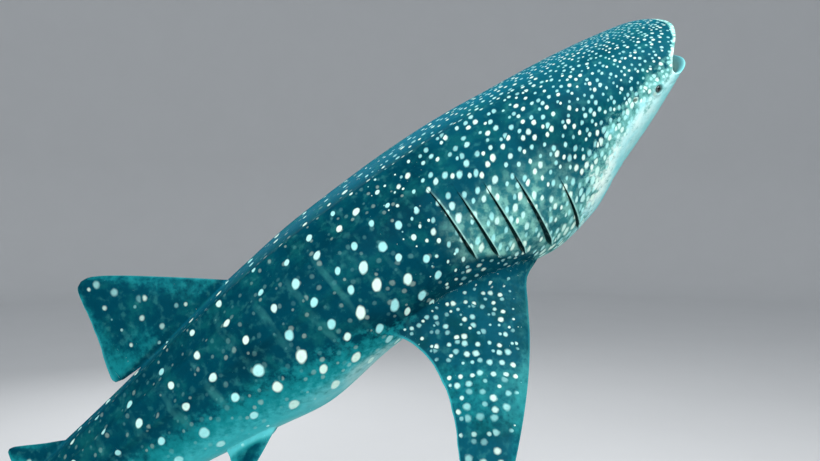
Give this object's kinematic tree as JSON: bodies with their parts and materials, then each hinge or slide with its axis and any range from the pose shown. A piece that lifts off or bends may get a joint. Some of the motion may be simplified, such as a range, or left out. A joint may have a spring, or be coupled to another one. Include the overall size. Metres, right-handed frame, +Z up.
{
  "type": "whale shark display model",
  "caption": "Still, life-size model of a young whale shark swimming nose up with its mouth open, held on rods over a flat display base.",
  "frame": {"origin": "middle of the underside of the stand's base, on the floor", "axes": "+X the way the shark heads, +Y to its left, +Z up"},
  "size_m": [4.9943, 1.7193, 3.6401],
  "materials": {
    "skin": "satin, dark blue-green above with pale spots and bars, pale aqua below",
    "eye": "polished, near black",
    "stand_metal": "satin dark grey powder coat",
    "stand_plate": "matt grey lacquer"
  },
  "bodies": {
    "root": {"head": "skin", "lower_jaw": "skin", "gill_region": "skin", "torso": "skin", "tail_stem": "skin", "eye_left": "eye", "eye_right": "eye", "first_dorsal_fin": "skin", "second_dorsal_fin": "skin", "anal_fin": "skin", "caudal_fin_upper": "skin", "caudal_fin_lower": "skin", "pectoral_fin_left": "skin", "pectoral_fin_right": "skin", "pelvic_fin_left": "skin", "pelvic_fin_right": "skin", "stand_base": "stand_plate", "stand_foot_front": "stand_metal", "stand_foot_rear": "stand_metal", "stand_rod_front": "stand_metal", "stand_rod_rear": "stand_metal", "stand_saddle_front": "stand_metal", "stand_saddle_rear": "stand_metal"}
  },
  "joints": []
}
